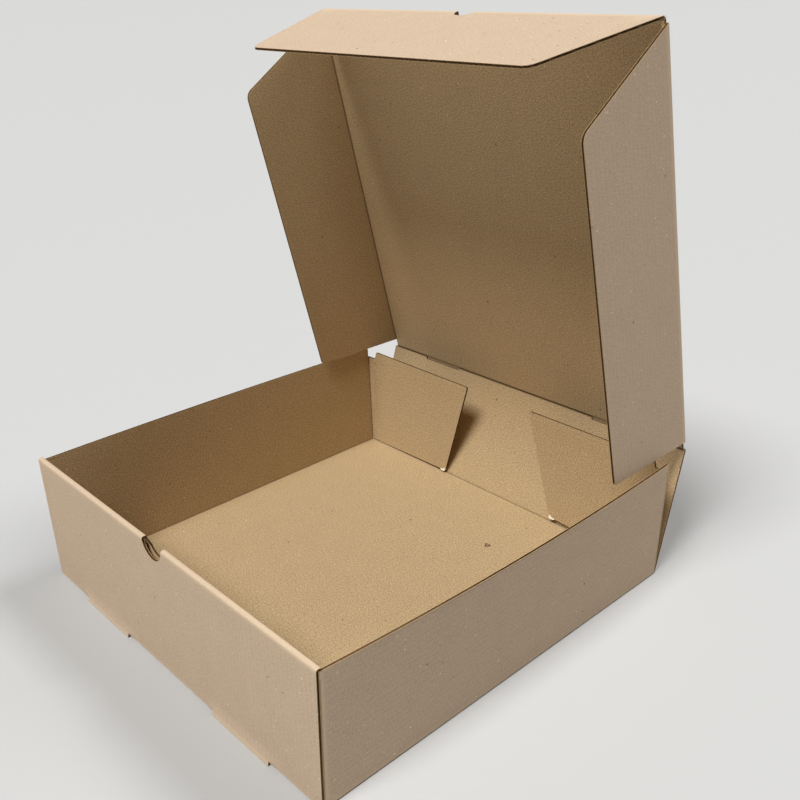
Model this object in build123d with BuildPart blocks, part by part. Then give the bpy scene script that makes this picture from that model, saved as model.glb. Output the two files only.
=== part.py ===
"""An open box of fine corrugated board: a tray with a rolled front wall, and a lid with three flaps.

It is one die-cut sheet, folded and locked without glue, and stands as it was left open: the back wall leans
back and the lid leans forward over the tray. The origin is the middle of the floor's underside, X runs to the
right along the front, Y to the back and Z up. Lengths are in millimetres and angles in degrees.
"""
import os
from math import cos, hypot, radians, sin, tan

from build123d import *

os.makedirs("parts", exist_ok=True)

# The board, and the room that its folds need
board = 1.5                 # thickness of the sheet
fold_gap = 0.25             # between a panel's turning edge and the panel that it turns on
ply_gap = 0.15              # between the layers of the rolled front wall
fold_radius_share = 0.8     # outside radius of a closed fold, as a share of the board
overrun = 5.0               # how far a cut runs past the faces that it opens

# Tray
tray_width = 250.0          # outside, along the front
tray_depth = 252.0          # outside, over the front wall and the upright back wall
side_height = 74.0          # at the rear end of the side walls, which rise to the front
front_height = 78.0
left_lean = 1.0             # how far each side wall leans out
right_lean = 2.3
left_bow = 2.5              # how far the middle of each side wall's top edge stands out
right_bow = 4.0
roll_width = 3.2            # over the rolled top of the front wall
roll_shoulder = 5.5         # how far down its inner ply slants out to clear the tuck flaps
thumb_notch_radius = 9.0    # half-round finger notch in the top of the front wall
tuck_top = 99.0             # front flaps of the side walls, held inside the front wall
tuck_foot = 77.0
tuck_drop = 0.5             # how far their tops stay below the shoulder of the inner ply
slot_centre = 64.5          # locking slots in the floor, behind the front fold
slot_length = 46.0
slot_room = 0.4             # around a locking tab in its slot
lip_height = 9.0            # where the outer ply starts to bend out beside a slot
lip_kick = 1.6              # how far its lower edge is pushed out

# Rear corner flaps of the side walls
corner_top = 99.0
corner_foot = 77.0
corner_drop = 0.7           # top edge below the side wall
corner_lift = 0.6           # lower edge above the floor
corner_relief = 5.4         # cut down beside the fold, where a lid flap passes
corner_relief_width = 6.8
corner_relief_slope = 2.0
corner_rounding = 3.0

# Back wall
back_lean = 18.6            # from upright, as the box was left
back_inset = 1.2            # each end, from the outside of the tray
lid_lift = 0.5              # room between the closed lid and the side walls

# Lid and its flaps
lid_lean = 13.15            # forward from upright, as the box was left
lid_side_gap = 1.5          # each side, inside the side walls
lid_front_gap = 5.7         # behind the front wall, when closed
tongue_centre = 73.0        # slits in the rear fold, where the lid runs on past it
tongue_width = 32.0
tongue_length = 2.4
fold_notch_radius = 6.5     # half-round notch in the middle of the front fold
front_flap_depth = 70.0
front_flap_turn = 90.5      # from flat
front_flap_taper = 19.5     # each end, over the flap's depth
side_flap_depth = 67.5
side_flap_turn = 88.9       # from flat
side_flap_rear_taper = 16.0
side_flap_front_taper = 26.5
flap_rounding = 6.0         # free corners
flap_rear_relief = 5.0      # where the side flaps stop short of the rear fold
flap_front_relief = 2.5     # where flaps stop short of each other at the lid's front corners

# Places that follow from these sizes
fold_radius = fold_radius_share * board
half_width = tray_width / 2
front_y = -tray_depth / 2
rear_y = tray_depth / 2
front_thickness = 3 * board + 2 * ply_gap
front_inner_y = front_y + front_thickness
side_front_height = front_height - board - ply_gap
lean = {-1: left_lean, 1: right_lean}
bow = {-1: left_bow, 1: right_bow}

back_axis = Vector(0, rear_y - board / 2, board / 2)
floor_rear_y = back_axis.Y - board / 2 - fold_gap
corner_axis_y = rear_y - board - fold_gap - board
side_rear_y = corner_axis_y - fold_gap
side_front_y = front_y + board + ply_gap

lid_width = tray_width - 2 * board - 2 * lid_side_gap
lid_length = back_axis.Y - front_inner_y - lid_front_gap - board / 2
back_height = side_height + lid_lift + board / 2 - back_axis.Z
fold_clear = board / 2 + fold_gap

# Directions: across the box, and the way each panel runs from its fold
across = Vector(1, 0, 0)
to_back = Vector(0, 1, 0)
back_run = Vector(0, sin(radians(back_lean)), cos(radians(back_lean)))
lid_run = Vector(0, -sin(radians(lid_lean)), cos(radians(lid_lean)))
lid_inward = across.cross(lid_run)
lid_axis = back_axis + back_run * back_height


def wall_up(side):
    """The way up a leaning side wall."""
    return Vector(side * sin(radians(lean[side])), 0, cos(radians(lean[side])))


def wall_out(side):
    """The way out from a leaning side wall."""
    return wall_up(side).cross(to_back) * -side


def wall_foot(side, y, depth):
    """A point at the foot of a side wall, at a depth inside its outer face."""
    return Vector(side * half_width, y, fold_radius) - wall_out(side) * depth


def wall_x(side, z):
    """Where the outside of a side wall is at a height."""
    return side * (half_width + (z - fold_radius) * tan(radians(lean[side])))


def fold_plane(origin, along, run):
    """The middle plane of a panel: x along its fold, y the way it runs from the fold."""
    return Plane(origin, x_dir=along, z_dir=along.cross(run))


def panel(plane, outline, rounding=None):
    """A flat panel of board on both sides of its middle plane, with its two free corners rounded."""
    with BuildSketch(plane) as face:
        with BuildLine():
            Polyline(*outline, close=True)
        make_face()
        if rounding:
            fillet(face.vertices().sort_by(Axis.Y)[-2:], radius=rounding)
    extrude(face.sketch, amount=board / 2, both=True)


def turning_edge(plane, start, end):
    """The full-round edge on which a panel turns, from start to end along its fold."""
    with BuildSketch(Plane(plane.origin + plane.x_dir * start, z_dir=plane.x_dir)) as rounded:
        Circle(board / 2)
    extrude(rounded.sketch, amount=end - start)


def upright_plane(y):
    """A plane along the front at a depth, with x to the right and y up."""
    return Plane((0, y, 0), x_dir=across, z_dir=-to_back)


# Front wall: the outer ply rolls over the top into the inner ply, whose tabs lock into the floor
inner_inset = board + ply_gap
inner_foot = board + ply_gap
shoulder_z = front_height - roll_shoulder
with BuildPart() as front_wall:
    with BuildSketch(Plane.YZ) as roll:
        with BuildLine():
            Polyline(
                (front_y, fold_radius),
                (front_y, front_height),
                (front_y + roll_width, front_height),
                (front_y + roll_width, front_height - board),
                (front_y + board, front_height - board),
                (front_y + board, fold_radius),
                close=True,
            )
        make_face()
        fillet(roll.vertices().group_by(Axis.Y)[-1], radius=fold_radius)
    extrude(amount=half_width + front_height, both=True)
    with BuildSketch(upright_plane(front_y)):
        with BuildLine():
            Polyline(
                (wall_x(-1, 0), 0),
                (wall_x(1, 0), 0),
                (wall_x(1, front_height), front_height),
                (wall_x(-1, front_height), front_height),
                close=True,
            )
        make_face()
    extrude(amount=-front_thickness, mode=Mode.INTERSECT)
    panel(
        upright_plane(front_inner_y - board / 2),
        [
            (wall_x(-1, inner_foot) + inner_inset, inner_foot),
            (wall_x(1, inner_foot) - inner_inset, inner_foot),
            (wall_x(1, shoulder_z) - inner_inset, shoulder_z),
            (wall_x(-1, shoulder_z) + inner_inset, shoulder_z),
        ],
    )
    # shoulder, from the roll down to the upright part of the inner ply
    with BuildSketch(Plane.YZ.offset(wall_x(-1, shoulder_z) + inner_inset)):
        with BuildLine():
            Polyline(
                (front_y + roll_width, front_height - fold_radius),
                (front_inner_y, shoulder_z),
                (front_inner_y - board, shoulder_z),
                (front_y + board, front_height - board),
                close=True,
            )
        make_face()
    extrude(amount=wall_x(1, shoulder_z) - wall_x(-1, shoulder_z) - 2 * inner_inset)
    for side in (-1, 1):
        slot_start = side * slot_centre - slot_length / 2
        slot_end = slot_start + slot_length
        # locking tab, down to the underside of the floor
        panel(
            upright_plane(front_inner_y - board / 2),
            [
                (slot_start + slot_room, ply_gap),
                (slot_end - slot_room, ply_gap),
                (slot_end - slot_room, inner_foot),
                (slot_start + slot_room, inner_foot),
            ],
        )
        # lip of the outer ply, bent out where the slot cuts the fold
        with BuildSketch(upright_plane(front_y)):
            with Locations((side * slot_centre, lip_height / 2)):
                Rectangle(slot_length, lip_height)
        extrude(amount=-board, mode=Mode.SUBTRACT)
        with BuildSketch(Plane.YZ.offset(slot_start)):
            with BuildLine():
                Polyline(
                    (front_y, lip_height),
                    (front_y - lip_kick, 0),
                    (front_y - lip_kick + board, 0),
                    (front_y + board, lip_height),
                    close=True,
                )
            make_face()
        extrude(amount=slot_length)
    with BuildSketch(upright_plane(front_y - overrun)):
        with Locations((0, front_height)):
            Circle(thumb_notch_radius)
    extrude(amount=-(front_thickness + 2 * overrun), mode=Mode.SUBTRACT)


def side_wall(side):
    """A leaning side wall, bowed out at the top, and its front flap between the front wall's plies."""
    tuck_foot_z = board + ply_gap
    tuck_top_z = shoulder_z - tuck_drop
    middle_y = (side_front_y + side_rear_y) / 2
    blank_height = max(side_front_height, side_height) - fold_radius
    top_slope = (side_front_height - side_height) / (side_rear_y - side_front_y)
    foot = Plane(wall_foot(side, 0, 0), x_dir=to_back, z_dir=wall_up(side))
    with BuildPart() as wall:
        with BuildSketch(foot) as at_foot:
            with BuildLine():
                Polyline(
                    (side_front_y, 0),
                    (side_rear_y, 0),
                    (side_rear_y, side * board),
                    (side_front_y, side * board),
                    close=True,
                )
            make_face()
        with BuildSketch(foot.offset(blank_height)) as at_top:
            with BuildLine():
                ThreePointArc((side_front_y, 0), (middle_y, -side * bow[side]), (side_rear_y, 0))
                Line((side_rear_y, 0), (side_rear_y, side * board))
                ThreePointArc(
                    (side_rear_y, side * board),
                    (middle_y, side * (board - bow[side])),
                    (side_front_y, side * board),
                )
                Line((side_front_y, side * board), (side_front_y, 0))
            make_face()
        loft([at_foot.sketch.face(), at_top.sketch.face()], ruled=True)
        # the top edge slopes down to the rear
        with BuildSketch(fold_plane(wall_foot(side, 0, 0), to_back, wall_up(side))) as above:
            with BuildLine():
                Polyline(
                    (side_front_y - overrun, side_front_height - fold_radius + top_slope * overrun),
                    (side_rear_y + overrun, side_height - fold_radius - top_slope * overrun),
                    (side_rear_y + overrun, blank_height + overrun),
                    (side_front_y - overrun, blank_height + overrun),
                    close=True,
                )
            make_face()
        extrude(above.sketch, amount=bow[side] + board + overrun, both=True, mode=Mode.SUBTRACT)
        panel(
            upright_plane(side_front_y + board / 2),
            [
                (wall_x(side, tuck_foot_z), tuck_foot_z),
                (wall_x(side, tuck_top_z), tuck_top_z),
                (wall_x(side, tuck_top_z) - side * tuck_top, tuck_top_z),
                (wall_x(side, tuck_foot_z) - side * tuck_foot, tuck_foot_z),
            ],
        )
        corner = (wall_x(side, tuck_top_z / 2), side_front_y, tuck_top_z / 2)
        fillet(wall.edges().sort_by_distance(corner)[0], radius=fold_radius)
    return wall.part


# Tray: the floor with its folds rounded underneath, the side walls and the front wall
slot_depth = front_thickness + slot_room
with BuildPart() as tray:
    with BuildSketch():
        with Locations((0, (front_y + floor_rear_y) / 2)):
            Rectangle(tray_width, floor_rear_y - front_y)
        with Locations(
            (-slot_centre, front_y + slot_depth / 2),
            (slot_centre, front_y + slot_depth / 2),
        ):
            Rectangle(slot_length, slot_depth, mode=Mode.SUBTRACT)
    extrude(amount=board)
    underside = tray.edges().group_by(Axis.Z)[0]
    front_folds = underside.filter_by(Axis.X).group_by(Axis.Y)[0]
    side_folds = underside.filter_by(Axis.Y).group_by(Axis.X)
    fillet(front_folds + side_folds[0] + side_folds[-1], radius=fold_radius)
    add(side_wall(-1))
    add(side_wall(1))
    add(front_wall.part)
tray.part.label = "tray"
export_step(tray.part, "parts/tray.step")

# Back wall: turns on the floor's rear edge, and is notched at the top for the lid's tongues
back_plane = fold_plane(back_axis, across, back_run)
back_top = back_height - fold_clear
tongue_reach = hypot(tongue_length, board / 2) + fold_gap
back_foot_end = half_width - back_inset
with BuildPart() as back_wall:
    panel(
        back_plane,
        [
            (-back_foot_end, 0),
            (back_foot_end, 0),
            (lid_width / 2, back_top),
            (-lid_width / 2, back_top),
        ],
    )
    turning_edge(back_plane, -back_foot_end, back_foot_end)
    with BuildSketch(back_plane):
        with Locations((-tongue_centre, back_height), (tongue_centre, back_height)):
            Rectangle(tongue_width + 2 * fold_gap, 2 * tongue_reach)
    extrude(amount=board, both=True, mode=Mode.SUBTRACT)
back_wall.part.label = "back_wall"
export_step(back_wall.part, "parts/back_wall.step")

# Lid panel: turns on the back wall's top, with a tongue past the fold at each slit
lid_plane = fold_plane(lid_axis, across, lid_run)
lid_edge = lid_width / 2 - board / 2 - fold_clear
lid_front = lid_length - fold_clear
tongue_inner = tongue_centre - tongue_width / 2
tongue_outer = tongue_centre + tongue_width / 2
with BuildPart() as lid_panel:
    panel(lid_plane, [(-lid_edge, 0), (lid_edge, 0), (lid_edge, lid_front), (-lid_edge, lid_front)])
    for start, end in ((-lid_edge, -tongue_outer), (-tongue_inner, tongue_inner), (tongue_outer, lid_edge)):
        turning_edge(lid_plane, start, end)
    for side in (-1, 1):
        tongue_start = side * tongue_centre - tongue_width / 2
        tongue_end = tongue_start + tongue_width
        panel(
            lid_plane,
            [
                (tongue_start, -tongue_length),
                (tongue_end, -tongue_length),
                (tongue_end, 0),
                (tongue_start, 0),
            ],
        )
    with BuildSketch(lid_plane):
        with Locations((0, lid_length)):
            Circle(fold_notch_radius)
    extrude(amount=board, both=True, mode=Mode.SUBTRACT)
lid_panel.part.label = "lid_panel"
export_step(lid_panel.part, "parts/lid_panel.step")

# Front flap of the lid: tucks in behind the front wall
front_turn = radians(front_flap_turn)
front_flap_run = lid_run * cos(front_turn) + lid_inward * sin(front_turn)
front_flap_plane = fold_plane(lid_axis + lid_run * lid_length, across, front_flap_run)
front_flap_end = lid_width / 2 - flap_front_relief
with BuildPart() as lid_front_flap:
    panel(
        front_flap_plane,
        [
            (-front_flap_end, 0),
            (front_flap_end, 0),
            (front_flap_end - front_flap_taper, front_flap_depth),
            (front_flap_taper - front_flap_end, front_flap_depth),
        ],
        rounding=flap_rounding,
    )
    turning_edge(front_flap_plane, -front_flap_end, front_flap_end)
    with BuildSketch(front_flap_plane):
        Circle(fold_notch_radius)
    extrude(amount=board, both=True, mode=Mode.SUBTRACT)
lid_front_flap.part.label = "lid_front_flap"
export_step(lid_front_flap.part, "parts/lid_front_flap.step")


def side_flap(side):
    """A side flap of the lid, cut back at both ends."""
    turn = radians(side_flap_turn)
    run = across * (side * cos(turn)) + lid_inward * sin(turn)
    plane = fold_plane(lid_axis + across * (side * (lid_width / 2 - board / 2)), lid_run, run)
    front_end = lid_length - flap_front_relief
    with BuildPart() as flap:
        panel(
            plane,
            [
                (flap_rear_relief, 0),
                (front_end, 0),
                (front_end - side_flap_front_taper, side_flap_depth),
                (flap_rear_relief + side_flap_rear_taper, side_flap_depth),
            ],
            rounding=flap_rounding,
        )
        turning_edge(plane, flap_rear_relief, front_end)
    return flap.part


lid_left_flap = side_flap(-1)
lid_left_flap.label = "lid_left_flap"
export_step(lid_left_flap, "parts/lid_left_flap.step")

lid_right_flap = side_flap(1)
lid_right_flap.label = "lid_right_flap"
export_step(lid_right_flap, "parts/lid_right_flap.step")


def corner_flap(side):
    """A rear flap of a side wall, with a level top and a free edge that slants in towards its foot.

    It turns on the crease at the inside of the wall, and its outer face rounds the corner there.
    """
    up = wall_up(side)
    crease = wall_foot(side, corner_axis_y, board)
    plane = fold_plane(crease + to_back * (board / 2), up, -wall_out(side))
    foot = board + corner_lift - fold_radius
    top = side_height - corner_drop - fold_radius
    free_top = top - corner_top * tan(radians(lean[side]))
    with BuildPart() as flap:
        panel(
            plane,
            [
                (foot, 0),
                (top - corner_relief, 0),
                (top - corner_relief, corner_relief_width),
                (top, corner_relief_width + corner_relief_slope),
                (free_top, corner_top),
                (foot, corner_foot),
            ],
            rounding=corner_rounding,
        )
        with BuildSketch(Plane(crease + up * foot, x_dir=wall_out(side), z_dir=up)) as corner:
            Circle(board)
            with Locations((board / 2, side * board / 2)):
                Rectangle(board, board, mode=Mode.INTERSECT)
        extrude(corner.sketch, amount=top - corner_relief - foot)
    return flap.part


left_corner_flap = corner_flap(-1)
left_corner_flap.label = "left_corner_flap"
export_step(left_corner_flap, "parts/left_corner_flap.step")

right_corner_flap = corner_flap(1)
right_corner_flap.label = "right_corner_flap"
export_step(right_corner_flap, "parts/right_corner_flap.step")
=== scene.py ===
"""Looks of an open box of fine corrugated board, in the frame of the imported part.

Sizes are in millimetres, and the points of a sheet are turned to metres as they are added.
"""
import math

import bpy
import numpy as np
from mathutils import Matrix, Vector


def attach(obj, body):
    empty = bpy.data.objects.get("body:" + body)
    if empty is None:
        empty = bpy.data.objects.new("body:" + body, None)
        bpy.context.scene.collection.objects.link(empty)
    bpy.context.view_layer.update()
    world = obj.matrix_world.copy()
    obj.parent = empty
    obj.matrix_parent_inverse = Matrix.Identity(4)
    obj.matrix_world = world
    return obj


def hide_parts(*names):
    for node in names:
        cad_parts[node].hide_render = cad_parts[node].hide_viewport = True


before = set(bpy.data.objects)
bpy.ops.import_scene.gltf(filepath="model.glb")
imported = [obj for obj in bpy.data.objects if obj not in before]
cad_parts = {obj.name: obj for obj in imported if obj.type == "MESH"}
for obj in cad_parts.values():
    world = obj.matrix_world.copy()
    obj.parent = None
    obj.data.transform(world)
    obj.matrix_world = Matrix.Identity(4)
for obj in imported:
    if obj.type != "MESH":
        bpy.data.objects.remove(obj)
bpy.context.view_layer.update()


# Tray: floor, side walls and rolled front wall of one sheet of fine corrugated kraft board.
# The sheet is two paper liners glued to a wavy middle paper, die-cut and creased,
# and the front wall is rolled over the tuck flaps and locked into two slots in the floor.
board = 1.5
half = board / 2
liner_thick = 0.22
fluting_thick = 0.2
flute_pitch = 3.17
# the map of places on the sheet counts in this length
sheet_unit = 100.0


def to_linear(hex_colour):
    """The linear colour, with alpha, of an sRGB hex colour."""
    parts = [int(hex_colour[i:i + 2], 16) / 255 for i in (1, 3, 5)]
    return (*[c / 12.92 if c <= 0.04045 else ((c + 0.055) / 1.055) ** 2.4 for c in parts], 1.0)


def node(tree, kind, inputs=(), **settings):
    """Adds a node with its settings, and sets or links its inputs."""
    made = tree.nodes.new(kind)
    for name, value in settings.items():
        setattr(made, name, value)
    for key, value in dict(inputs).items():
        if isinstance(value, bpy.types.NodeSocket):
            tree.links.new(value, made.inputs[key])
        else:
            made.inputs[key].default_value = value
    return made


def calculate(tree, operation, *values):
    """The result of a maths node."""
    return node(tree, "ShaderNodeMath", dict(enumerate(values)), operation=operation).outputs[0]


def paper(name, colour, crease_wear_and_painted_light, dark, light, mottle, lines):
    """Uncoated kraft paper: clouds, pressed fibres, flecks of bark and bleached fibre, and flute lines."""
    cloud_size, grain_size = 14.0, 0.8
    fibre_long, fibre_wide = 3.0, 0.5
    cloud_depth, fibre_depth = 0.1, 0.4
    fleck_cover, least_crease_mix = 0.8, 0.3
    flute_relief, bump_strength, bump_metres = 0.35, 0.35, 0.00006
    material = bpy.data.materials.new(name)
    material.use_nodes = True
    tree = material.node_tree
    tree.nodes.clear()
    sheet = node(tree, "ShaderNodeUVMap", uv_map="sheet").outputs["UV"]
    mm = node(tree, "ShaderNodeVectorMath", {0: sheet, "Scale": sheet_unit}, operation="SCALE").outputs[0]
    # clouds, fibres lying across the flutes, fine grain and a wave over the flutes make it lighter and darker
    cloud = node(tree, "ShaderNodeTexNoise",
                 {"Vector": mm, "Scale": 1 / cloud_size, "Detail": 4.0}).outputs[0]
    lie = node(tree, "ShaderNodeVectorMath", {0: mm, 1: (1 / fibre_long, 1 / fibre_wide, 1.0)},
               operation="MULTIPLY").outputs[0]
    fibre = node(tree, "ShaderNodeTexNoise", {"Vector": lie, "Scale": 1.0, "Detail": 2.0}).outputs[0]
    grain = node(tree, "ShaderNodeTexNoise",
                 {"Vector": mm, "Scale": 1 / grain_size, "Detail": 3.0, "Roughness": 0.7}).outputs[0]
    across = node(tree, "ShaderNodeSeparateXYZ", {0: mm}).outputs[0]
    wave = calculate(tree, "SINE", calculate(tree, "MULTIPLY", across, 2 * math.pi / flute_pitch))
    total = 1.0
    for source, amount in ((cloud, cloud_depth), (fibre, fibre_depth), (grain, mottle)):
        total = calculate(tree, "MULTIPLY_ADD", calculate(tree, "SUBTRACT", source, 0.5), amount, total)
    total = calculate(tree, "MULTIPLY_ADD", wave, lines, total)
    tone = node(tree, "ShaderNodeVectorMath", {0: to_linear(colour)[:3], "Scale": total},
                operation="SCALE").outputs[0]
    # flecks: one dark one to about 9 mm square and one light one to about 4.5 mm square, of uneven size
    for spacing, fleck, size in ((9.0, dark, 0.08), (4.5, light, 0.125)):
        shifted = node(tree, "ShaderNodeVectorMath", {0: mm, 1: (spacing, 3 * spacing, 0.0)},
                       operation="ADD").outputs[0]
        cell = node(tree, "ShaderNodeTexVoronoi", {"Vector": shifted, "Scale": 1 / spacing})
        sized = calculate(tree, "MULTIPLY", cell.outputs["Color"], size)
        inside = calculate(tree, "LESS_THAN", cell.outputs["Distance"], sized)
        tone = node(tree, "ShaderNodeMix", {"Factor": calculate(tree, "MULTIPLY", inside, fleck_cover),
                                            6: tone, 7: to_linear(fleck)}, data_type="RGBA").outputs[2]
    # creases: outside, the paper is stretched and rubbed pale along the folds, with a painted highlight on
    # top, and inside a dark line of painted shade lies along them
    crease = node(tree, "ShaderNodeAttribute", attribute_name="crease").outputs["Fac"]
    crease_mix = calculate(tree, "MULTIPLY", crease, calculate(tree, "ADD", grain, least_crease_mix))
    tone = node(tree, "ShaderNodeMix", {"Factor": crease_mix, 6: tone, 7: to_linear(crease_wear_and_painted_light)},
                data_type="RGBA").outputs[2]
    relief = calculate(tree, "MULTIPLY_ADD", wave, flute_relief, calculate(tree, "ADD", fibre, grain))
    bump = node(tree, "ShaderNodeBump",
                {"Height": relief, "Strength": bump_strength, "Distance": bump_metres}).outputs[0]
    shader = node(tree, "ShaderNodeBsdfPrincipled",
                  {"Base Color": tone, "Normal": bump, "Roughness": 0.92, "Specular IOR Level": 0.18})
    node(tree, "ShaderNodeOutputMaterial", {"Surface": shader.outputs[0]})
    return material


# kraft liner, machine finished: an even, matt grey-brown with a faint line over each flute
# along the creases it is paler: stretched and rubbed paper, with a painted highlight
outside_liner = paper("kraft_liner_machine_finished", "#baa48c", crease_wear_and_painted_light="#c8b296", dark="#6e5641",
                      light="#e6d8c2", mottle=0.85, lines=0.017)
# kraft liner as it came off the wire: yellower and more mottled, with a dark line of painted shade where it
# is creased
inside_liner = paper("kraft_liner_wire_side", "#baa17b", crease_wear_and_painted_light="#5e452b", dark="#6b4f33", light="#e2cfac",
                     mottle=2.4, lines=0.014)
# kraft liner cut through by the die: a thin, clean, slightly darker line round each panel
cut_edge = paper("kraft_liner_die_cut", "#ab8d63", crease_wear_and_painted_light="#ab8d63", dark="#6b4f33", light="#d2bb94",
                 mottle=1.0, lines=0.0)
# fluting paper pressed wavy between hot rolls: dark brown, partly its own colour and partly painted shade, so
# the hollows between the liners look deep
fluting_and_shade = paper("fluting_paper_with_painted_shade", "#664c33", crease_wear_and_painted_light="#664c33", dark="#3f2d1c", light="#7d6243",
                mottle=1.0, lines=0.0)
# kraft fibre torn open: pale and fluffy, because the loose fibres scatter the light
torn = paper("kraft_fibre_torn", "#e6d8bd", crease_wear_and_painted_light="#e6d8bd", dark="#b39a72", light="#f1e7d3",
             mottle=1.0, lines=0.0)
papers = [outside_liner, inside_liner, cut_edge, fluting_and_shade, torn]
outer_face, inner_face, cut_face, fluting_and_shade_face, torn_face = range(len(papers))


def strips(loops, rows, step, extra=()):
    """Cuts a flat outline with holes into quads that run along the flutes, and finds its free edges."""
    upright, tiny, clear = 1e-6, 1e-3, 0.1
    edges = []
    for loop in loops:
        for p, q in zip(loop, loop[1:] + loop[:1]):
            if abs(p[0] - q[0]) > upright:
                edges.append((p, q) if p[0] < q[0] else (q, p))
    breaks = sorted({round(p[0], 4) for loop in loops for p in loop})
    breaks = sorted({*breaks, *[round(a, 4) for a in extra if breaks[0] < a < breaks[-1]]})
    points, found, quads = [], {}, []

    def level(edge, a):
        """How far along the flutes an edge is, at a place across them."""
        (a0, b0), (a1, b1) = edge
        return b0 + (b1 - b0) * min(max((a - a0) / (a1 - a0), 0), 1)

    def point(a, b):
        """The number of the point at a place, which is made if there is none."""
        key = (round(a, 3), round(b, 3))
        if key not in found:
            found[key] = len(points)
            points.append((a, b))
        return found[key]

    for left, right in zip(breaks, breaks[1:]):
        if right - left < 2 * tiny:
            continue
        over = [e for e in edges if e[0][0] < left + tiny and e[1][0] > right - tiny]
        over.sort(key=lambda e: level(e, (left + right) / 2))
        first, last = math.ceil((left + clear) / step), math.floor((right - clear) / step)
        columns = [left, *[k * step for k in range(first, last + 1)], right]
        for low, high in zip(over[::2], over[1::2]):
            grid = []
            for a in columns:
                foot, rise = level(low, a), level(high, a) - level(low, a)
                grid.append([point(a, foot + rise * f) for f in rows])
            for one, two in zip(grid, grid[1:]):
                for j in range(len(rows) - 1):
                    face = list(dict.fromkeys((one[j], two[j], two[j + 1], one[j + 1])))
                    if len(face) > 2:
                        quads.append(face)
    sides = dict.fromkeys(side for face in quads for side in zip(face, face[1:] + face[:1]))
    free = [(i, j) for i, j in sides if (j, i) not in sides]
    return np.array(points), quads, free


# columns beside a fold, and the widths of a crease's pale band outside, rubbed and with a painted highlight,
# and of its painted shade inside
beside_fold = (-1.2, -0.6, -0.3, 0.3, 0.6, 1.2)
outer_crease_width, crease_shade_width = 1.1, 0.45
# steps to one wave of the fluting, and the length of a step along a bend
wave_steps, bend_step = 6, 4.0
# each panel has its own part of the paper's pattern, and the bends share another
panel_shift, bend_shift, bend_width = np.array((1.7, 0.9)), 0.31, 0.004


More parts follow.
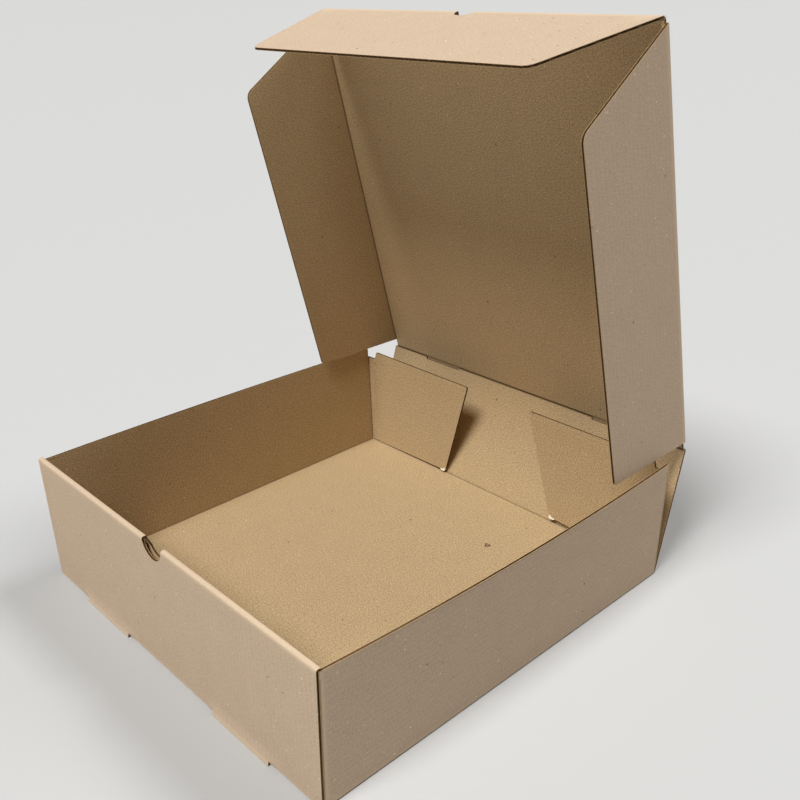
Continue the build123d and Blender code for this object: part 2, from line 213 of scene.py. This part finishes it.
class Sheet:
    """Gathers the faces of one piece of folded board: a is across the flutes, b along them and w outward."""

    def __init__(self):
        self.points, self.faces, self.kinds, self.uv, self.crease = [], [], [], [], []
        self.panels = 0

    def surface(self, points, faces, kind, uv, crease):
        """Adds faces of one kind of paper, with each point's place on the sheet and how creased it is."""
        base = len(self.points)
        self.points.extend(map(tuple, np.asarray(points) / 1000))
        self.faces.extend([[base + i for i in face] for face in faces])
        self.kinds.extend([kind] * len(faces))
        self.uv.extend(map(tuple, uv))
        self.crease.extend(crease)

    def panel(self, loops, place, rows, folds, curved=False):
        """A panel of board: two liners and the wavy paper between them, with open cut edges.

        A fold is given by its axis, 0 where it runs along the flutes or 1 across them, and its place.
        """
        self.panels += 1
        beside = [at + d for axis, at in folds if axis == 0 for d in beside_fold]
        faced = strips(loops, rows, flute_pitch, beside)
        waved = strips(loops, rows if curved else [0, 1], flute_pitch / wave_steps)
        core = fluting_thick / 2
        swing = half - liner_thick - core
        # the liners' faces toward the fluting take the fluting's colour too: painted shade between the liners
        layers = (
            (faced, 0, half, half - liner_thick, outer_face, fluting_and_shade_face),
            (waved, swing, core, -core, fluting_and_shade_face, fluting_and_shade_face),
            (faced, 0, liner_thick - half, -half, fluting_and_shade_face, inner_face),
        )
        for (grid, quads, free), wave, top, bottom, top_kind, bottom_kind in layers:
            a, b = grid[:, 0], grid[:, 1]
            uv = grid / sheet_unit + panel_shift * self.panels
            away = np.min([np.abs(grid[:, axis] - at) for axis, at in folds], axis=0)
            crease_mix, crease_shade = (np.exp(-(away / width) ** 2) for width in (outer_crease_width, crease_shade_width))
            middle = wave * np.sin(2 * np.pi * a / flute_pitch)
            upper, lower = place(a, b, middle + top), place(a, b, middle + bottom)
            self.surface(upper, quads, top_kind, uv, crease_mix)
            self.surface(lower, [face[::-1] for face in quads], bottom_kind, uv, crease_shade)
            rim = np.array([(i, j, j, i) for i, j in free]).ravel()
            walls = np.arange(len(rim)).reshape(-1, 4).tolist()
            high = np.tile([False, False, True, True], len(walls))
            edge = np.where(high[:, None], upper[rim], lower[rim])
            kind = fluting_and_shade_face if top_kind == bottom_kind else cut_face
            self.surface(edge, walls, kind, uv[rim], np.zeros(len(rim)))

    def bend(self, profile, start, end, kind, crease_wear_and_painted_light=1.0):
        """A bent skin: a profile of points swept from start to end, given as functions of the profile."""
        first, last = start(profile), end(profile)
        span = np.linalg.norm(first[0] - last[0])
        count, length = len(profile), max(2, int(span / bend_step))
        share = np.linspace(0, 1, length + 1)
        points = (first[None] + (last - first)[None] * share[:, None, None]).reshape(-1, 3)
        faces = [[i * count + j, (i + 1) * count + j, (i + 1) * count + j + 1, i * count + j + 1]
                 for i in range(length) for j in range(count - 1)]
        uv = [(s * span / sheet_unit + bend_shift, j * bend_width) for s in share for j in range(count)]
        self.surface(points, faces, kind, uv, np.full(len(points), crease_wear_and_painted_light))

    def patch(self, outline, place, lift, kind):
        """A small ragged flake or scuff on a panel's inside: its outline, each point lifted off the face."""
        a, b = np.array(outline).T
        uv = np.stack((a, b), axis=1) / sheet_unit
        self.surface(place(a, b, -half - np.asarray(lift)), [list(range(len(a)))[::-1]], kind, uv, 0 * a)

    def piece(self, name):
        """The finished mesh object."""
        mesh = bpy.data.meshes.new(name)
        mesh.from_pydata(self.points, [], self.faces)
        for material in papers:
            mesh.materials.append(material)
        mesh.polygons.foreach_set("material_index", self.kinds)
        mesh.polygons.foreach_set("use_smooth", [kind != cut_face for kind in self.kinds])
        corners = np.empty(len(mesh.loops), int)
        mesh.loops.foreach_get("vertex_index", corners)
        layer = mesh.uv_layers.new(name="sheet")
        layer.data.foreach_set("uv", np.array(self.uv, np.float32)[corners].ravel())
        creased = mesh.attributes.new("crease", "FLOAT", "POINT")
        creased.data.foreach_set("value", np.array(self.crease, np.float32))
        mesh.update()
        made = bpy.data.objects.new(name, mesh)
        bpy.context.scene.collection.objects.link(made)
        return made


def flat(origin, across, along, out):
    """Places a flat panel: across and along its flutes from an origin, with the outside on one side."""
    origin = np.array(origin, float)
    return lambda a, b, w: origin + np.outer(a, across) + np.outer(b, along) + np.outer(w, out)


def profile_at(origin, across, out):
    """Places a profile, whose points are distances across and out from an origin."""
    origin = np.array(origin, float)
    return lambda p: origin + np.outer(p[:, 0], across) + np.outer(p[:, 1], out)


def graded(length, ends=(0.6, 1.4, 3.0), spacing=30.0):
    """Rows along the flutes, close together near both ends of a length and even between."""
    near = [0, *[e / length for e in ends]]
    middle = list(np.linspace(near[-1], 1 - near[-1], max(3, int(length / spacing)) + 1))
    return near[:-1] + middle + [1 - n for n in reversed(near[:-1])]


def arc(radius, start, end, count=6):
    """Points on an arc about the origin, in degrees."""
    angles = np.radians(np.linspace(start, end, count + 1))
    return np.stack((radius * np.cos(angles), radius * np.sin(angles)), axis=1)


def follow(start, heading, path):
    """Follows the middle of a folded sheet, seen end on, through pairs of a run and the turn along it."""
    tightest, tiny = 0.03, 1e-9

    def place(b, w):
        """The place at a distance along the sheet and a height off its middle."""
        at, angle, done = np.array(start, float), math.radians(heading), 0.0
        b, made = np.asarray(b, float), np.zeros((len(b), 2))
        w = np.broadcast_to(w, b.shape)
        for k, (run, turn) in enumerate(path):
            on = b >= done - tiny if k else b < np.inf
            way = b[on] - done if k + 1 == len(path) else np.minimum(b[on] - done, run)
            bend = math.radians(turn) / run
            for last, s, side in ((False, way, w[on]), (True, np.array([run]), np.zeros(1))):
                now = angle + bend * s
                if turn:
                    middle = 1 / bend
                    if bend < 0:
                        side = np.maximum(side, middle + tightest)
                    else:
                        side = np.minimum(side, middle - tightest)
                    step = np.stack((np.sin(now) - math.sin(angle), math.cos(angle) - np.cos(now)), 1) / bend
                else:
                    step = np.outer(s, (math.cos(angle), math.sin(angle)))
                spot = at + step + side[:, None] * np.stack((-np.sin(now), np.cos(now)), 1)
                if not last:
                    made[on] = spot
            at, angle, done = spot[0], angle + math.radians(turn), done + run
        return made
    return place


# how much of the crease colour a fold's skin takes: paler outside, with a painted highlight, and painted
# shade inside
fold_gap, fold_hair, fold_wear_and_painted_light = 0.25, 0.06, 0.9


def fold_skin(sheet, parts, origin, along, run, out, start, end):
    """The paper at a fold: profiles of run and out from the fold's middle, each with its kind of paper."""
    origin, along = np.array(origin, float), np.array(along, float)
    handed = int(np.dot(np.cross(along, run), out) > 0)
    ends = [profile_at(origin + along * s, run, out) for s in (start, end)]
    for kind, part in parts:
        sheet.bend(part, ends[handed], ends[1 - handed], kind, fold_wear_and_painted_light)


# one panel ends at a fold in a rounded nose, and the outer paper of the other runs on over it as a lip
fold_clear = half + fold_gap
round_end = arc(half, 90, 270, 12)
nose = ((outer_face, round_end[:8]), (inner_face, round_end[7:]))
lip = ((outer_face, np.array([(-fold_hair, half), (-fold_clear / 2, half), (-fold_clear, half)])),)
tray_half, front_y, floor_rear = 125.0, -126.0, 124.25
fold_radius = 1.2
rear_height, rise_height, front_height = 74.0, 76.35, 78.0
lean = {-1: math.radians(1.0), 1: math.radians(2.3)}
bow = {-1: 2.46, 1: 3.97}
slot_in, slot_out, slot_rear = 41.5, 87.5, -120.8
foot_x, foot_y = tray_half - fold_radius, front_y + fold_radius
mid_radius = fold_radius - half
quarter = mid_radius * math.pi / 2

tray = Sheet()
# floor, with the slots open to the front fold
floor_length = 249.0
floor_loop = [
    (-foot_x, foot_y), (-slot_out, foot_y), (-slot_out, slot_rear), (-slot_in, slot_rear), (-slot_in, foot_y),
    (slot_in, foot_y), (slot_in, slot_rear), (slot_out, slot_rear), (slot_out, foot_y), (foot_x, foot_y),
    (foot_x, floor_rear), (-foot_x, floor_rear),
]
on_floor = flat((0, 0, half), (1, 0, 0), (0, 1, 0), (0, 0, -1))
tray.panel([floor_loop], on_floor, graded(floor_length),
           [(0, -foot_x), (0, foot_x), (1, foot_y), (1, floor_rear)])
# a small scuff through the inside liner, with a flake of it left
scuff_x, scuff_y, scuff_wide, scuff_long = 37.0, 75.0, 2.0, 1.7
ring = np.radians(np.arange(0, 360, 24))
ragged = 1 + 0.22 * np.sin(3 * ring) + 0.16 * np.sin(7 * ring)
for size, lift, kind in ((1.0, 0.03, fluting_and_shade_face), (0.35, 0.06, inner_face)):
    reach_x, reach_y = size * ragged * scuff_wide, size * ragged * scuff_long
    outline = np.stack((scuff_x + reach_x * np.cos(ring), scuff_y + reach_y * np.sin(ring)), axis=1)
    tray.patch(outline, on_floor, lift, kind)
back_axis = np.array((0, floor_rear + fold_clear, half))
fold_skin(tray, lip, back_axis, (1, 0, 0), (0, 1, 0), (0, 0, -1), -foot_x, foot_x)
# bends under the side walls and the front wall, and their rounded corners
upward = (0, 0, 1)
skin = arc(fold_radius, -90, 0)
for side in (-1, 1):
    ends = (foot_y, floor_rear)
    front, rear = (profile_at((side * foot_x, y, fold_radius), (side, 0, 0), upward) for y in ends)
    tray.bend(skin[::side], front, rear, outer_face)
for ends in ((-foot_x, -slot_out), (-slot_in, slot_in), (slot_out, foot_x)):
    left, right = (profile_at((x, foot_y, fold_radius), (0, -1, 0), upward) for x in ends)
    tray.bend(skin, right, left, outer_face)
# the rounded corners take most of the pale crease colour: rubbed paper with a painted highlight
turns, corner_wear_and_highlight = 6, 0.8
count = turns + 1
down, around = np.radians([(-90 * i / turns, 90 * j / turns) for i in range(count) for j in range(count)]).T
corner_faces = [[k, k + 1, k + count + 1, k + count] for k in range(turns * count) if k % count < turns]
corner_map = np.outer(np.arange(count ** 2), (0.01, 0.013))
for side in (-1, 1):
    ball_x = side * (foot_x + fold_radius * np.cos(down) * np.cos(around))
    ball_y = foot_y - fold_radius * np.cos(down) * np.sin(around)
    ball = np.stack((ball_x, ball_y, fold_radius + fold_radius * np.sin(down)), axis=1)
    tray.surface(ball, [face[::-side] for face in corner_faces], outer_face, corner_map,
                 np.full(len(ball), corner_wear_and_highlight))
# side walls, bowed out and rising to the front, each with its front tuck flap round the corner
ply_gap = 0.15
inset = board + ply_gap
side_front, side_rear = front_y + inset, 122.5
straight = side_rear - side_front - fold_radius
wall_end = straight + fold_radius
bow_end = wall_end + 0.1
tuck_height, tuck_top, tuck_foot = 72.0, 99.0, 77.0
front_rise, rear_rise, tuck_rise, tuck_low = (
    z - fold_radius for z in (rise_height, rear_height, tuck_height, inset))
dent_at, dent_depth, dent_half, dent_fall = 56.5, 0.8, 2.6, 5.0
dent_rows = [(dent_at + d) / straight for d in (-6, -3.5, -1.8, 0, 1.8, 3.5, 6)]
wall_rows = sorted(graded(straight) + dent_rows)
tuck_rows = [0, 0.002, 0.004, 0.006, 0.008, 0.02, 0.5, 1]


def place_wall(side, path):
    """Places a side wall's strip: a is up it, b along it from the rear. The right one's top has a dent."""
    along = follow((tray_half - half, side_rear), -90, path)
    middle, reach = (side_front + side_rear) / 2, (side_rear - side_front) / 2
    tilt, rise = math.sin(lean[side]), math.cos(lean[side])

    def place(a, b, w):
        """The place up the wall, along it and outward."""
        out, y = along(b, w).T
        bulge = bow[side] * a / front_rise * np.maximum(1 - ((y - middle) / reach) ** 2, 0) * (b <= bow_end)
        off_dent = ((b - dent_at) / dent_half) ** 2 + ((a - front_rise) / dent_fall) ** 2
        dent = (side > 0) * dent_depth * np.exp(-off_dent)
        x = side * (out + a * tilt + bulge * rise)
        return np.stack((x, y, fold_radius + a * rise - bulge * tilt - dent), axis=1)
    return place


for side in (-1, 1):
    slope = [(rear_rise + (front_rise - rear_rise) * s, wall_end * s) for s in np.linspace(1, 0, 17)]
    body = [(0, 0), (0, straight), (tuck_rise, straight), (tuck_rise, wall_end), *slope]
    tray.panel([body], place_wall(side, [(wall_end, 0)]), wall_rows, [(0, 0), (1, straight)], True)
    reach = straight + quarter - fold_radius
    tuck = [(tuck_low, straight), (tuck_low, reach + tuck_foot),
            (tuck_rise, reach + tuck_top), (tuck_rise, straight)]
    tray.panel([tuck], place_wall(side, [(straight, 0), (quarter, -90), (tuck_top, 0)]), tuck_rows,
               [(1, straight)], True)
# front wall: outer ply with its lips, narrow roll over the top, and inner ply with its locking tabs
slant, roll_flat, roll_fall = 20.4, 0.8, 4.585
up_end = front_height - 2 * fold_radius
second = mid_radius * math.radians(90 - slant)
third = mid_radius * math.radians(slant)
ply_path = [(up_end, 0), (quarter, -90), (roll_flat, 0), (second, slant - 90), (roll_fall, 0),
            (third, -slant), (front_height, 0)]
roll_end = up_end + quarter + roll_flat + second
down_start = roll_end + roll_fall + third
ply = follow((front_y + half, fold_radius), 90, ply_path)
inner_end = down_start + ply([down_start], 0.0)[0, 1]
inner_foot, tab_foot = inner_end - inset, inner_end - ply_gap
lip_height, lip_kick, lip_slit, lip_fade = 9.0, 1.6, 2.6, 6.0


def place_front(a, b, w):
    """Places the front wall's sheet: a is along the front, b up the outer ply and down the inner one."""
    y, z = ply(b, w).T
    clear = np.maximum(np.maximum(slot_in - np.abs(a), np.abs(a) - slot_out), 0)
    low = np.where(clear > 0, np.maximum(z, lip_slit), z)
    push = lip_kick * np.clip(1 - low / lip_height, 0, 1) ** 1.5 * np.exp(-(clear / lip_fade) ** 2)
    push *= np.where(clear > 0, np.minimum(z / lip_slit, 1), 1) * (b < up_end)
    return np.stack((a, y - push, z), axis=1)


wide = {side: tray_half + (front_height - fold_radius) * math.tan(lean[side]) for side in (-1, 1)}
slit_width = 0.03
slit, lip_low = lip_slit - fold_radius, -fold_radius
foot_line = []
for near, far in ((-slot_out, -slot_in), (slot_in, slot_out)):
    foot_line += [(near - slit_width, 0), (near - slit_width, slit), (near, slit), (near, lip_low),
                  (far, lip_low), (far, slit), (far + slit_width, slit), (far + slit_width, 0)]
thumb_radius = 9.0
thumb_notch = arc(thumb_radius, 8, 172, 24)
bite_out = [(x, up_end + fold_radius - z) for x, z in thumb_notch]
bite_in = [(x, inner_end - (front_height - z)) for x, z in thumb_notch[::-1]]
low_rows = [0, 0.008, 0.02, 0.035, 0.05, 0.065, 0.08, 0.1, 0.13, 0.3, 0.5, 0.7, 0.9, 0.98, 0.99, 1]
tray.panel([[(-tray_half, 0), *foot_line, (tray_half, 0), (wide[1], up_end), *bite_out, (-wide[-1], up_end)]],
           place_front, low_rows, [(1, 0), (1, up_end)], True)
bend_ends = ((up_end, up_end + quarter), (roll_end - second, roll_end))
bends = np.concatenate([np.linspace(start, end, 6) for start, end in bend_ends])
roll_rows = list((bends - up_end) / (roll_end - up_end))
notch_edge = thumb_notch[0][0]
for left, right in ((-wide[-1], -notch_edge), (notch_edge, wide[1])):
    tray.panel([[(left, up_end), (right, up_end), (right, roll_end), (left, roll_end)]], place_front,
               roll_rows, [(1, up_end + quarter / 2), (1, roll_end - second / 2)], True)
    inner, outer = sorted((left, right), key=abs)
    left, right = sorted((inner, outer - math.copysign(inset, outer)))
    tray.panel([[(left, roll_end), (right, roll_end), (right, down_start), (left, down_start)]], place_front,
               [0, 0.5, 0.9, 0.95, 1], [(1, roll_end)])
tab_play = 0.4
tab_in, tab_out = slot_in + tab_play, slot_out - tab_play
inner_ply = [
    *bite_in, (wide[1] - inset, down_start), (tray_half - inset, inner_foot), (tab_out, inner_foot),
    (tab_out, tab_foot), (tab_in, tab_foot), (tab_in, inner_foot), (-tab_in, inner_foot), (-tab_in, tab_foot),
    (-tab_out, tab_foot), (-tab_out, inner_foot), (inset - tray_half, inner_foot),
    (inset - wide[-1], down_start),
]
tray.panel([inner_ply], place_front, graded(inner_foot - down_start), [(1, down_start)])
tray_piece = tray.piece("tray_board")
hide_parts("tray")
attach(tray_piece, "tray")


# Back wall: a plain panel of the same sheet, creased up from the floor's rear edge and left leaning back.
# It is notched at the top beside the two slits through which the lid's tongues pass.
back_lean, back_height = math.radians(18.6), 74.5
back_run = np.array((0, math.sin(back_lean), math.cos(back_lean)))
back_out = np.array((0, math.cos(back_lean), -math.sin(back_lean)))
back_foot, lid_half = 123.8, 122.0
lid_axis = back_axis + back_run * back_height
back_top = back_height - fold_clear
tongue_in, tongue_out, tongue = 57.0, 89.0, 2.4
slit_play = 0.25
slit_in, slit_out = tongue_in - slit_play, tongue_out + slit_play
notch_floor = back_height - math.hypot(tongue, half) - fold_hair
back = Sheet()
back_loop = [
    (-back_foot, 0), (back_foot, 0), (lid_half, back_top), (slit_out, back_top), (slit_out, notch_floor),
    (slit_in, notch_floor), (slit_in, back_top), (-slit_in, back_top), (-slit_in, notch_floor),
    (-slit_out, notch_floor), (-slit_out, back_top), (-lid_half, back_top),
]
back.panel([back_loop], flat(back_axis, (1, 0, 0), back_run, back_out), graded(back_top),
           [(1, 0), (1, back_top)])
fold_skin(back, nose, back_axis, (1, 0, 0), back_run, back_out, -back_foot, back_foot)
for start, end in ((-lid_half, -slit_out), (-slit_in, slit_in), (slit_out, lid_half)):
    fold_skin(back, lip, lid_axis, (1, 0, 0), back_run, back_out, start, end)
# the slit's burr: the outer paper stands up a hair behind each tongue
burr_rise, burr_near, burr_crest, burr_far = 0.03, 2.41, 2.5, 2.65
burr_line = [(-burr_near, half + burr_rise), (-burr_crest, half + burr_rise), (-burr_far, half)]
burr = ((outer_face, np.array(burr_line)),)
for side in (-1, 1):
    fold_skin(back, burr, lid_axis, (side, 0, 0), back_run, back_out, slit_in, slit_out)
back_piece = back.piece("back_wall_board")
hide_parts("back_wall")
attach(back_piece, "back_wall")


# Lid panel: the largest panel of the sheet, creased from the back wall's top and left leaning forward.
# Two tongues stand past the rear crease where it is slit, and a half-round notch is cut in the front crease.
lid_lean, lid_length = math.radians(13.15), 240.0
lid_run = np.array((0, -math.sin(lid_lean), math.cos(lid_lean)))
lid_out = np.array((0, math.cos(lid_lean), math.sin(lid_lean)))
lid_edge = lid_half - half - fold_clear
lid_front = lid_length - fold_clear
notch_radius = 6.5
corner_cut = 2.5
side_start, side_end = 5.0, lid_length - corner_cut
lid = Sheet()
bite = [(x, lid_length - y) for x, y in arc(notch_radius, 9, 171, 16)]
lid_loop = [
    (-lid_edge, 0), (-tongue_out, 0), (-tongue_out, -tongue), (-tongue_in, -tongue), (-tongue_in, 0),
    (tongue_in, 0), (tongue_in, -tongue), (tongue_out, -tongue), (tongue_out, 0), (lid_edge, 0),
    (lid_edge, lid_front), *bite, (-lid_edge, lid_front),
]
# more rows where the crease's line crosses the roots of the tongues
root_rows = [b / lid_length for b in (2.4, 4.2, 6.5)]
lid.panel([lid_loop], flat(lid_axis, (1, 0, 0), lid_run, lid_out), sorted(graded(lid_length) + root_rows),
          [(0, -lid_edge), (0, lid_edge), (1, 0), (1, lid_front)])
for start, end in ((-lid_edge, -tongue_out), (-tongue_in, tongue_in), (tongue_out, lid_edge)):
    fold_skin(lid, nose, lid_axis, (1, 0, 0), lid_run, lid_out, start, end)
flap_axis = lid_axis + lid_run * lid_length
for side in (-1, 1):
    fold_skin(lid, lip, flap_axis, (side, 0, 0), lid_run, lid_out, notch_radius, lid_edge)
    side_axis = lid_axis + np.array((side * (lid_half - half), 0, 0))
    fold_skin(lid, lip, side_axis, lid_run, (side, 0, 0), lid_out, side_start, side_end)
lid_piece = lid.piece("lid_board")
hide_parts("lid_panel")
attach(lid_piece, "lid")


# Front flap of the lid: creased down from the lid, with slanted ends and rounded free corners.
# Its free edge is a die cut across the flutes, so the wavy paper shows there.
def rounded(corners, radius, which, steps=8):
    """A closed outline with some of its corners rounded."""
    made = []
    for i, corner in enumerate(corners):
        if i not in which:
            made.append(tuple(corner))
            continue
        c = Vector(corner)
        before = (Vector(corners[i - 1]) - c).normalized()
        after = (Vector(corners[(i + 1) % len(corners)]) - c).normalized()
        inside = before.angle(after) / 2
        reach = radius / math.tan(inside)
        centre = c + (before + after).normalized() * (radius / math.sin(inside))
        start, end = c + before * reach - centre, c + after * reach - centre
        first = math.atan2(start.y, start.x)
        sweep = math.remainder(math.atan2(end.y, end.x) - first, 2 * math.pi)
        for k in range(steps + 1):
            angle = first + sweep * k / steps
            made.append((centre.x + radius * math.cos(angle), centre.y + radius * math.sin(angle)))
    return made


flap_turn, flap_depth, flap_taper, flap_round = math.radians(90.5), 70.0, 19.5, 6.0
flap_crease = half + 0.2
flap_end = lid_half - corner_cut
flap_run = lid_run * math.cos(flap_turn) - lid_out * math.sin(flap_turn)
flap_out = lid_out * math.cos(flap_turn) + lid_run * math.sin(flap_turn)
front_flap = Sheet()
flap_loop = [*map(tuple, arc(notch_radius, 180, 0, 16)), (flap_end, 0), (flap_end - flap_taper, flap_depth),
             (flap_taper - flap_end, flap_depth), (-flap_end, 0)]
front_flap.panel([rounded(flap_loop, flap_round, (18, 19))], flat(flap_axis, (1, 0, 0), flap_run, flap_out),
                 graded(flap_depth), [(1, 0), (1, flap_crease)])
for start, end in ((-flap_end, -notch_radius), (notch_radius, flap_end)):
    fold_skin(front_flap, nose, flap_axis, (1, 0, 0), flap_run, flap_out, start, end)
front_flap_piece = front_flap.piece("lid_front_flap_board")
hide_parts("lid_front_flap")
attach(front_flap_piece, "lid_front_flap")


# Side flaps of the lid: creased down from its sides and cut back at both ends.
# The flutes run along them, so the slanted front ends cut them into long dashes.
side_turn, side_depth = math.radians(88.9), 67.5
front_cut, rear_cut, rear_round = 29.0, 21.0, 2.0
side_loop = [(0, side_start), (0, side_end), (side_depth, lid_length - front_cut), (side_depth, rear_cut)]
side_outline = rounded(rounded(side_loop, rear_round, (3,)), flap_round, (2,))
for side, word in ((-1, "left"), (1, "right")):
    outward = np.array((side, 0, 0))
    run = outward * math.cos(side_turn) - lid_out * math.sin(side_turn)
    out = outward * math.sin(side_turn) + lid_out * math.cos(side_turn)
    axis = lid_axis + outward * (lid_half - half)
    flap = Sheet()
    flap.panel([side_outline], flat(axis, run, lid_run, out), graded(lid_length), [(0, 0), (0, flap_crease)])
    fold_skin(flap, nose, axis, lid_run, run, out, side_start, side_end)
    flap_piece = flap.piece(f"lid_{word}_flap_board")
    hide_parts(f"lid_{word}_flap")
    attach(flap_piece, f"lid_{word}_flap")


# Rear corner flaps: the rear ends of the side walls' strips, creased in behind the tray.
# Each is cut down beside its crease, and its free edge slants in to a torn tip near the floor.
crease_y, flap_top, flap_foot, tip_round = 122.75, 99.0, 77.0, 1.0
relief_deep, relief_wide, relief_end = 5.4, 6.8, 8.8
low_clear, high_clear = 0.6, 0.7
low, high = board + low_clear - fold_radius, rear_height - high_clear - fold_radius
shoulder = high - relief_deep
rearward = (0, 1, 0)
# the torn tip: a flake of the inside liner, its outline from the flap's foot and how far each point curls up
flake = [(1.9, -0.2), (1.3, -1.6), (0.5, -2.4), (0.4, -4.6), (-0.25, -4.0), (-0.3, -2.0), (-0.45, -0.6),
         (0.5, 0.2)]
flake_lift = (0.05, 0.1, 0.2, 0.1, 0.7, 1.1, 0.9, 0.3)
for side, word in ((-1, "left"), (1, "right")):
    up = np.array((side * math.sin(lean[side]), 0, math.cos(lean[side])))
    out_wall = np.array((side * math.cos(lean[side]), 0, -math.sin(lean[side])))
    crease = np.array((side * tray_half, crease_y, fold_radius)) - out_wall * board
    tip = high - flap_top * math.tan(lean[side])
    corner_loop = [(low, 0), (shoulder, 0), (shoulder, relief_wide), (high, relief_end), (tip, flap_top),
                   (low, flap_foot)]
    flap = Sheet()
    on_flap = flat(crease + np.array((0, half, 0)), up, -out_wall, rearward)
    flap.panel([rounded(corner_loop, tip_round, (4, 5))], on_flap, graded(flap_top), [(1, 0)])
    flap.patch([(low + a, flap_foot + b) for a, b in flake], on_flap, flake_lift, torn_face)
    foot, head = (profile_at(crease + up * a, out_wall, rearward) for a in (low, shoulder))
    flap.bend(arc(board, 0, 90)[::side], foot, head, outer_face)
    flap_piece = flap.piece(f"{word}_corner_flap_board")
    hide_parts(f"{word}_corner_flap")
    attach(flap_piece, f"{word}_corner_flap")


# Floor of the studio: a plain sheet of pale background paper, wide enough to fill the picture.
# It lies a hair below the box, so that their faces don't meet. Its sizes are in metres.
ground_size, ground_drop = 90.0, 0.0002
bpy.ops.mesh.primitive_plane_add(size=ground_size, location=(0, 0, -ground_drop))
ground = bpy.context.object
ground.name = "studio_floor"
# background paper, uncoated: no highlight, so that only the box's soft shadow shows on it
pale = bpy.data.materials.new("background_paper_uncoated")
pale.use_nodes = True
pale.node_tree.nodes["Principled BSDF"].inputs["Base Color"].default_value = to_linear("#b6b6b5")
pale.node_tree.nodes["Principled BSDF"].inputs["Roughness"].default_value = 0.9
ground.data.materials.append(pale)


# Light: a broad soft panel above in front, and a weaker one behind.
# The room is pale near the horizon and darkens upward.
panels = (("key_panel", 3.35, (-0.055, 0.52, -0.855)), ("rear_panel", 2.0, (-0.2, -0.52, -0.83)))
panel_angle = math.radians(22)
for name, energy, aim in panels:
    soft = bpy.data.lights.new(name, "SUN")
    soft.angle = panel_angle
    soft.energy = energy
    lamp = bpy.data.objects.new(name, soft)
    lamp.rotation_euler = Vector(aim).to_track_quat("-Z", "Y").to_euler()
    bpy.context.scene.collection.objects.link(lamp)
world = bpy.data.worlds.new("room")
world.use_nodes = True
bpy.context.scene.world = world
sky = world.node_tree
sky.nodes.clear()
ray = node(sky, "ShaderNodeTexCoord").outputs["Generated"]
height = node(sky, "ShaderNodeSeparateXYZ", {0: ray}).outputs[2]
above = node(sky, "ShaderNodeClamp", {"Value": height}).outputs[0]
below = calculate(sky, "SUBTRACT", 1.0, above)
glow = 0.0
for part, power, strength in ((above, 2.0, 0.15), (below, 4.0, 0.3), (below, 20.0, 0.4)):
    glow = calculate(sky, "MULTIPLY_ADD", calculate(sky, "POWER", part, power), strength, glow)
room = node(sky, "ShaderNodeBackground", {"Color": to_linear("#fffdfa"), "Strength": glow}).outputs[0]
node(sky, "ShaderNodeOutputWorld", {"Surface": room})
bpy.context.scene.view_settings.view_transform = "Standard"


# Camera: where the photograph was taken from, found by fitting the box's corners.
# The focal length is in pixels of the photograph, and the place is in metres.
sensor_width, photo_pixels, focal_pixels = 36.0, 800, 962.36
camera_place = (0.37456, -0.30117, 0.33006)
to_right = (0.6812, 0.73163, -0.02617)
to_top = (-0.28667, 0.29947, 0.91002)
to_back = (0.67363, -0.61241, 0.41373)
lens = bpy.data.cameras.new("camera")
lens.sensor_width = sensor_width
lens.lens = sensor_width * focal_pixels / photo_pixels
camera = bpy.data.objects.new("camera", lens)
turned = Matrix((to_right, to_top, to_back)).transposed().to_4x4()
camera.matrix_world = Matrix.Translation(camera_place) @ turned
bpy.context.scene.collection.objects.link(camera)
bpy.context.scene.camera = camera
